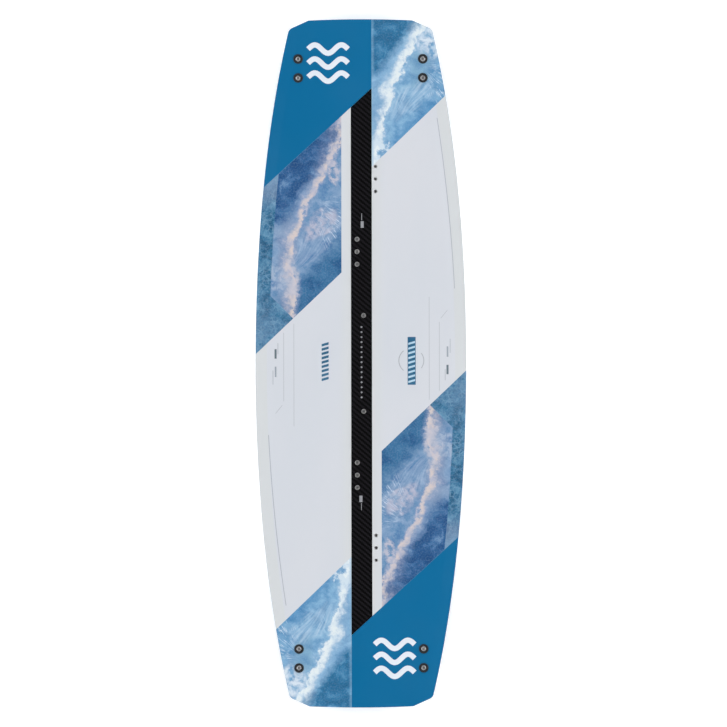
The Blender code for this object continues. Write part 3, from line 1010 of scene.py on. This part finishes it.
def glass_cloth():
    """Plain-weave glass in resin, seen only at the layers' edges."""
    look = Look("glass_cloth", Specular_IOR_Level=0.5)
    x, y, _ = look.split(look.object_point)
    ribs = [look.math("SINE", look.times(axis, 2 * math.pi / CLOTH_RIB)) for axis in (x, y)]
    weave = look.times(*ribs)
    base = look.tones(look.grain(40.0), (0.3, (176, 184, 168)), (0.7, (198, 204, 190)))
    look.flecked(base, weave, -0.6, 0.8, 0.35, (150, 158, 142))
    look.rough(weave, 0.34, 0.5, -1.0, 1.0)
    look.bump(weave, 0.00005, 0.5)
    return look.material


def core_wood():
    """Paulownia strips glued side by side, with their grain along the board."""
    look = Look("paulownia_strips", Specular_IOR_Level=0.3)
    x, y, _ = look.split(look.object_point)
    place = look.math("DIVIDE", x, CORE_STRIP)
    shade = look.node("ShaderNodeTexWhiteNoise", {"W": look.math("FLOOR", place)},
                      noise_dimensions="1D")
    offset = look.join(x, look.math("MULTIPLY_ADD", shade, 3.0, y), shade)
    grain = look.noise(look.moved(offset, scale=(300, 9, 1)), 1.0, 5.0, 0.6, 0.4)
    base = look.tones(grain, (0.30, (178, 138, 96)), (0.55, (206, 170, 126)),
                      (0.75, (222, 190, 148)))
    tinted = look.mix(look.between(shade, 0.0, 1.0, 0.0, 0.3), base, paint(160, 118, 78))
    joint = look.math("ABSOLUTE", look.minus(look.math("FRACT", place), 0.5))
    look.flecked(tinted, joint, 0.485, 0.5, 0.7, (110, 78, 48))
    look.rough(grain, 0.55, 0.75)
    look.bump(grain, 0.0001, 0.4)
    return look.material


# ---- closed meshes ----
def skin(bm, rings):
    """Faces between each ring of vertices and the next; a ring may be a single point."""
    for one, two in zip(rings, rings[1:]):
        for i in range(max(len(one), len(two))):
            corners = [ring[k % len(ring)] for ring, k in
                       ((one, i), (one, i + 1), (two, i + 1), (two, i))]
            bm.faces.new(list(dict.fromkeys(corners)))


def tube(bm, rings):
    """A tube with closed ends through rings of points."""
    rows = [[bm.verts.new(p) for p in ring] for ring in rings]
    skin(bm, rows)
    bm.faces.new(rows[0])
    bm.faces.new(rows[-1])


def solid(name, bm):
    """An object from a closed mesh, with its faces turned outwards."""
    bmesh.ops.recalc_face_normals(bm, faces=bm.faces)
    mesh = bpy.data.meshes.new(name)
    bm.to_mesh(mesh)
    bm.free()
    return keep(name, mesh)


def smooth(piece, angle):
    """Smooth shading, but for edges sharper than the angle."""
    piece.data.shade_smooth()
    piece.data.set_sharp_from_angle(angle=math.radians(angle))
    return piece


def loft(name, rings, angle):
    bm = bmesh.new()
    tube(bm, rings)
    return smooth(solid(name, bm), angle)


def turned_body(name, profile, steps, angle):
    """A body about Z through (radius, height) points.

    A radius can be a function of the share of the turn. The body ends in points where
    the radius is 0; a profile that starts away from the axis is closed into a ring.
    """
    bm = bmesh.new()
    rows = []
    for radius, height in profile:
        row = []
        for share in (i / steps for i in range(1 if radius == 0 else steps)):
            reach = radius(share) if callable(radius) else radius
            turn = 2 * math.pi * share
            row.append(bm.verts.new((reach * math.cos(turn), reach * math.sin(turn), height)))
        rows.append(row)
    skin(bm, rows if profile[0][0] == 0 else rows + rows[:1])
    return smooth(solid(name, bm), angle)


def placed(name, mesh, matrix):
    """A copy of a mesh, moved into place."""
    own = mesh.copy()
    own.transform(matrix)
    return keep(name, own)


# ---- rails ----
def rail_profile():
    """(inset, share of height, lift) round a rail's section, anticlockwise from below."""
    low, high = [], []
    for turn in (math.pi / 2 * i / RAIL_ROUND_STEPS for i in range(RAIL_ROUND_STEPS + 1)):
        near, far = 1 - math.sin(turn), 1 - math.cos(turn)
        low.append((RAIL_ROUND_LOW * near, 0.0, RAIL_ROUND_LOW * far))
        high.append((RAIL_ROUND_HIGH * far, 1.0, -RAIL_ROUND_HIGH * near))
    return [(RAIL_WIDTH, 0.0, 0.0), *low, *high, (RAIL_WIDTH, 1.0, 0.0)]


def rail_rings(chosen):
    """Sections of the rail at the chosen outline points, as rings of points."""
    profile = rail_profile()
    lines = [outline(inset) for inset, _, _ in profile]
    rings = []
    for i in chosen:
        ring = []
        for line, (_, share, lift) in zip(lines, profile):
            x, y = line[i]
            low = base_z(x, y) + SHEET + GAP
            high = deck_z(x, y) - SHEET - GAP
            ring.append(Vector((x, y, low + (high - low) * share + lift)))
        rings.append(ring)
    return rings


def build_rails():
    """Two side rails and two tip rails; the tip rails stop a gap short of the others."""
    edge = outline(0)
    reach = SHOULDER_Y + WORK_EPSILON
    groups = {"right_rail": lambda p: abs(p.y) <= reach and p.x > 0,
              "left_rail": lambda p: abs(p.y) <= reach and p.x < 0,
              "nose_rail": lambda p: p.y >= reach - 2 * WORK_EPSILON,
              "tail_rail": lambda p: p.y <= -reach + 2 * WORK_EPSILON}
    made = {}
    for name, holds in groups.items():
        member = [holds(p) for p in edge]
        first = next(i for i, inside in enumerate(member) if inside and not member[i - 1])
        rings = rail_rings([(first + k) % len(edge) for k in range(sum(member))])
        if name in ("nose_rail", "tail_rail"):
            for end, beside in ((0, 1), (-1, -2)):
                share = GAP / (rings[beside][0] - rings[end][0]).length
                rings[end] = [a.lerp(b, share) for a, b in zip(rings[end], rings[beside])]
        made[name] = loft(name + "_shaped", rings, 35.0)
    return made


# ---- fins ----
def fin_section(depth):
    """Width, length and shift of a fin at a depth, between its given sections."""
    for one, two in zip(FIN_SECTIONS, FIN_SECTIONS[1:]):
        if depth <= two[0]:
            share = (depth - one[0]) / (two[0] - one[0])
            return [a + (b - a) * share for a, b in zip(one[1:], two[1:])]
    return FIN_SECTIONS[-1][1:]


def build_fin(name, x, y):
    """A smooth foil below its foot, with rounded edges and a level tip."""
    place = surface_frame(base_z, x, y)
    normal = place.col[2].to_3d()
    foot = FIN_SECTIONS[1][0]
    last = FIN_SECTIONS[-1][0]
    depths = [GAP, GAP + FIN_FOOT_ROUND, 0.003, 0.007, foot - 0.0012, foot - 0.0005, foot]
    depths += [foot + (FIN_NECK - foot) * (i / 6) for i in range(1, 7)]
    depths += [FIN_NECK + (last - FIN_NECK) * i / 22 for i in range(1, 23)]
    rings = []
    for depth in depths:
        width, length, shift = fin_section(depth)
        near_tip = max(0.0, 1 - (last - depth) / FIN_TIP_ROUND)
        near_foot = max(0.0, 1 - (depth - GAP) / FIN_FOOT_ROUND)
        shrink = 0.9 * FIN_TIP_ROUND * (1 - math.sqrt(1 - near_tip ** 2))
        shrink += 2 * FIN_FOOT_ROUND * near_foot
        below_foot = min(1.0, max(0.0, (depth - foot) / (FIN_NECK - foot)))
        fullness = 0.80 + 0.45 * below_foot
        ring = []
        for turn in (2 * math.pi * i / FIN_SIDES for i in range(FIN_SIDES)):
            across = math.copysign(abs(math.cos(turn)) ** fullness, math.cos(turn))
            along = (length - shrink) / 2 * math.sin(turn) - math.copysign(shift, y)
            point = place @ Vector(((width - shrink) / 2 * across, along, -depth))
            if depth == last:
                point -= normal * (point.z / normal.z)
            ring.append(point)
        rings.append(ring)
    return loft(name + "_shaped", rings, 40.0)


def build_fins():
    made = {}
    for end, nose in ENDS:
        for side, right in SIDES:
            name = "fin_%s_%s" % (end, side)
            made[name] = build_fin(name, right * FIN_X, nose * FIN_Y)
    return made


# ---- screws, washers and inserts ----
def rounded(corners, steps=5):
    """Replaces each (radius, height, round) corner with a short curve."""
    made = []
    for i, (x, y, size) in enumerate(corners):
        if size == 0:
            made.append((x, y))
            continue
        here = Vector((x, y))
        before = Vector(corners[i - 1][:2])
        after = Vector(corners[(i + 1) % len(corners)][:2])
        start = here + (before - here).normalized() * size
        end = here + (after - here).normalized() * size
        for t in (k / steps for k in range(steps + 1)):
            made.append(tuple(start * (1 - t) ** 2 + here * 2 * t * (1 - t) + end * t ** 2))
    return made


def thread(top, bottom, radius, depth):
    """Profile points down a thread that fades at its ends."""
    rows = math.ceil((top - bottom) / SCREW_PITCH * 8)
    for height in (top + (bottom - top) * row / rows for row in range(rows + 1)):
        ends = min(1.0, (top - height) / SCREW_PITCH, (height - bottom) / SCREW_PITCH)

        def radius_at(share, height=height, ends=ends):
            phase = (height / SCREW_PITCH - share) % 1.0
            return radius - depth * ends * abs(2 * phase - 1)
        yield radius_at, height


def cross_cutter():
    """Two tapered blades and a cone between them, for a cross recess."""
    bm = bmesh.new()
    blade = box((-RECESS_LONG, -RECESS_WIDE), (RECESS_LONG, RECESS_WIDE))
    for plan, turn in ((blade, 0), (blade, 90), (circle(0, 0, RECESS_PIT, 16), 11)):
        matrix = Matrix.Rotation(math.radians(turn), 4, "Z")
        tube(bm, [[matrix @ Vector((p.x * scale, p.y * scale, height)) for p in plan]
                  for height, scale in ((-RECESS_DEPTH, 0.5), (RECESS_OVER, 1.0))])
    return solid("cross_cutter", bm)


def screw_mesh():
    """A pan-head screw with a cross recess, its seat at height 0."""
    top, end = HEAD_HEIGHT, -SCREW_LENGTH
    profile = rounded([(0, top, 0), (HEAD_R * 0.55, top - 0.00005, 0.0006),
                       (HEAD_R, top - 0.0009, 0.0007), (HEAD_R, 0, 0.00015),
                       (SCREW_R + 0.0002, 0, 0), (SCREW_R, -0.0002, 0)])
    profile += thread(-0.0012, end + 0.0010, SCREW_R, 0.00045)
    profile += [(SCREW_R - 0.0007, end + 0.0002), (SCREW_R - 0.0010, end), (0, end)]
    body = turned_body("screw_body", profile, 32, 38.0)
    cutter = cross_cutter()
    cutter.location.z = top
    hole = body.modifiers.new("recess", "BOOLEAN")
    hole.operation = "DIFFERENCE"
    hole.solver = "EXACT"
    hole.use_self = True
    hole.object = cutter
    graph = bpy.context.evaluated_depsgraph_get()
    mesh = bpy.data.meshes.new_from_object(body.evaluated_get(graph))
    bpy.data.objects.remove(body)
    bpy.data.objects.remove(cutter)
    mesh.set_sharp_from_angle(angle=math.radians(38.0))
    return mesh


def build_fasteners():
    """Fin screws and their washers, each on the deck's own normal."""
    screw = screw_mesh()
    rim = GAP + WASHER
    bore = SCREW_R + GAP
    washer = turned_body("washer_turned", rounded([
        (bore, GAP, 0.0002), (WASHER_R, GAP, 0.0003), (WASHER_R, rim - 0.0006, 0.0004),
        (WASHER_R - 0.0012, rim, 0.0006), (HEAD_R + 0.0009, rim - 0.0001, 0.0002),
        (HEAD_R + 0.0005, rim - 0.0003, 0.0001), (HEAD_R + 0.0001, rim - 0.0001, 0.0001),
        (bore, rim - 0.0001, 0.0002)]), 64, 30.0)
    seat = Matrix.Translation((0, 0, rim + GAP))
    made = {}
    for number, name in enumerate(nodes_named("fin_screw_")):
        other = name.replace("screw", "washer")
        place = surface_frame(deck_z, *plan_place(other))
        turn = Matrix.Rotation(math.radians(SCREW_TURN * number), 4, "Z")
        made[name] = placed(name + "_cross", screw, place @ seat @ turn)
        made[other] = placed(other + "_moulded", washer.data, place @ turn)
    bpy.data.objects.remove(washer)
    bpy.data.meshes.remove(screw)
    return made


def build_inserts():
    """Flanged inserts with a chamfered, threaded blind bore."""
    made = {}
    for name in nodes_named("_insert_"):
        x, y = plan_place(name)
        bottom = base_z(x, y) + SKIN - deck_z(x, y)
        shoulder = bottom + FOOT_HEIGHT
        top = -INSERT_SINK - (SHEET if "outer" in name else 0.0)
        floor = bottom + INSERT_FLOOR
        mouth = INSERT_BORE_R + 0.0002
        profile = rounded([(0, bottom, 0), (FOOT_R, bottom, 0.0002), (FOOT_R, shoulder, 0.0002),
                           (INSERT_R, shoulder, 0.0001), (INSERT_R, top, 0.0003)])
        profile += [(mouth + 0.0005, top), (mouth, top - 0.0006)]
        profile += thread(top - 0.0008, floor + 0.0006, mouth, 0.0004)
        profile += [(INSERT_BORE_R - 0.0004, floor + 0.0003), (0, floor)]
        made[name] = turned_body(name + "_threaded", profile, 40, 38.0)
        made[name].data.transform(surface_frame(deck_z, x, y))
    return made


# ---- studio: pale floor, soft lights, camera straight above ----
def build_floor():
    bpy.ops.mesh.primitive_plane_add(size=FLOOR_SIZE, location=(0, 0, FLOOR_Z))
    floor = bpy.context.object
    floor.name = "floor"
    look = Look("floor_pale", Roughness=0.9, Specular_IOR_Level=0.1,
                Emission_Color=(1, 1, 1, 1))
    look.color(look.ramp(look.grain(3.0, 3.0), (0.3, (0.90, 0.90, 0.90, 1)),
                         (0.7, (0.93, 0.93, 0.93, 1))))
    glow = look.between(look.length(look.object_point), 1.2, 7.0, FLOOR_GLOW, FAR_GLOW)
    look.put(look.shader.inputs["Emission Strength"], glow)
    floor.data.materials.append(look.material)


def area_light(name, place, size, power):
    data = bpy.data.lights.new(name, "AREA")
    data.shape = "RECTANGLE"
    data.size, data.size_y = size
    data.energy = power
    lamp = keep(name, data)
    lamp.location = place
    lamp.rotation_euler = (-Vector(place)).to_track_quat("-Z", "Y").to_euler()
    lamp.visible_camera = False


def build_sky():
    """Bright near the horizon and dark overhead; the camera sees a plain backdrop."""
    world = bpy.data.worlds.new("studio")
    bpy.context.scene.world = world
    world.use_nodes = True
    sky = Tree(world.node_tree)
    background = sky.nodes["Background"]
    rise = sky.split(sky.node("ShaderNodeTexCoord", {}, "Generated"))["Z"]
    seen = sky.node("ShaderNodeLightPath", {}, "Is Camera Ray")
    glow = sky.node("ShaderNodeMix", {
        0: seen, 2: sky.between(rise, 0.25, 0.95, HORIZON_GLOW, ZENITH_GLOW), 3: BACKDROP_GLOW})
    sky.put(background.inputs["Strength"], glow)
    background.inputs["Color"].default_value = (1, 1, 1, 1)


def build_studio():
    build_floor()
    for sign in (-1, 1):
        for name, (x, y, z), size, power in SOFTBOXES:
            area_light("softbox_%s_%d" % (name, sign), (sign * x, sign * y, z), size, power)
    build_sky()


def build_camera():
    data = bpy.data.cameras.new("camera")
    data.sensor_width = SENSOR
    data.lens = LENS
    data.clip_end = 100.0
    camera = keep("camera", data)
    camera.location = (VIEW_X, VIEW_Y, deck_z(0, 0) + VIEW_WIDTH * LENS / SENSOR)
    camera.rotation_euler.z = math.radians(VIEW_ROLL)
    bpy.context.scene.camera = camera
    bpy.context.scene.view_settings.view_transform = "Standard"


# ---- build ----
def best(looks, name):
    """The look with the longest key that the piece's name starts with."""
    return looks[max((key for key in looks if name.startswith(key)), key=len)]


def add(piece, node, look):
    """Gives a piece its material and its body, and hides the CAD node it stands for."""
    piece.data.materials.clear()
    piece.data.materials.append(look)
    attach(piece, "root")
    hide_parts(node)


def film_looks():
    """Every look of the deck film, by what its pieces' names start with."""
    inks = {
        "deck_blue": ("deck_film_blue", (8, 104, 152), (12, 107, 156)),
        "print_waves": ("print_white", (222, 230, 240), (230, 236, 244)),
        "print_blue_block": ("print_blue", (40, 92, 128), (54, 108, 144), 60.0),
        "print_blue_bars": ("print_blue_bars", (44, 92, 126), (60, 112, 148), 60.0),
        "print_pale_bars": ("print_pale", (176, 208, 230), (196, 222, 238), 60.0),
        "print_grey_lines": ("print_grey", (164, 170, 178), (176, 182, 190)),
        # Dark film stroke that paints the shade along the bevel's crease
        "print_crease_lines": ("painted_crease_shade", (162, 168, 180), (172, 178, 190)),
        "print_small_marks": ("print_small", (86, 100, 110), (106, 120, 130)),
        "print_faint_marks": ("print_faint", (146, 156, 166), (160, 170, 180)),
        "print_carbon_dots": ("print_dots", (134, 136, 142), (156, 158, 164)),
    }
    looks = {name: plain_film(*ink) for name, ink in inks.items()}
    looks["deck_white"] = white_film()
    looks["carbon_strip"] = twill_film()
    for end, _ in ENDS:
        looks["deck_surf_" + end] = surf_picture(end)
        looks["deck_cloud_" + end] = cloud_picture(end)
        looks["deck_shoal_" + end] = shoal_picture(end)
    return looks


build_camera()
build_studio()

looks = film_looks()
for name, piece in build_deck().items():
    if name == "carbon_strip":
        add(piece, "carbon_stringer", looks[name])
    elif name == "print_carbon_dots":
        add(piece, "carbon_stringer", looks[name])
    else:
        add(piece, "top_sheet", best(looks, name))

base_looks = {
    "base_white": looks["deck_white"],
    "base_blue": looks["deck_blue"],
    "base_band": plain_film("base_film_band", (120, 168, 204), (138, 182, 214)),
    "base_print": looks["print_blue_block"],
}
for name, piece in build_base().items():
    add(piece, "base_sheet", best(base_looks, name))

abs_look = rail_plastic()
for name, piece in build_rails().items():
    add(piece, name, abs_look)

head_steel = brushed_metal("stainless_heads", (0.24, 0.24, 0.25), (0.38, 0.38, 0.39))
insert_steel = brushed_metal("stainless_inserts", (0.36, 0.36, 0.37), (0.52, 0.52, 0.53))
rubber = moulded_rubber()
for name, piece in build_fasteners().items():
    if "screw" in name:
        add(piece, name, head_steel)
    else:
        add(piece, name, rubber)
for name, piece in build_inserts().items():
    add(piece, name, insert_steel)

fin_look = fin_laminate()
for name, piece in build_fins().items():
    add(piece, name, fin_look)

brass = brushed_metal("sleeve_brass", (0.60, 0.42, 0.18), (0.74, 0.54, 0.26))
cloth = glass_cloth()
inner_looks = {"wood_core": core_wood(), "deck_laminate": cloth, "base_laminate": cloth,
               "fin_sleeve": brass}
for name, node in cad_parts.items():
    if name.startswith(tuple(inner_looks)):
        node.data.materials.clear()
        node.data.materials.append(best(inner_looks, name))
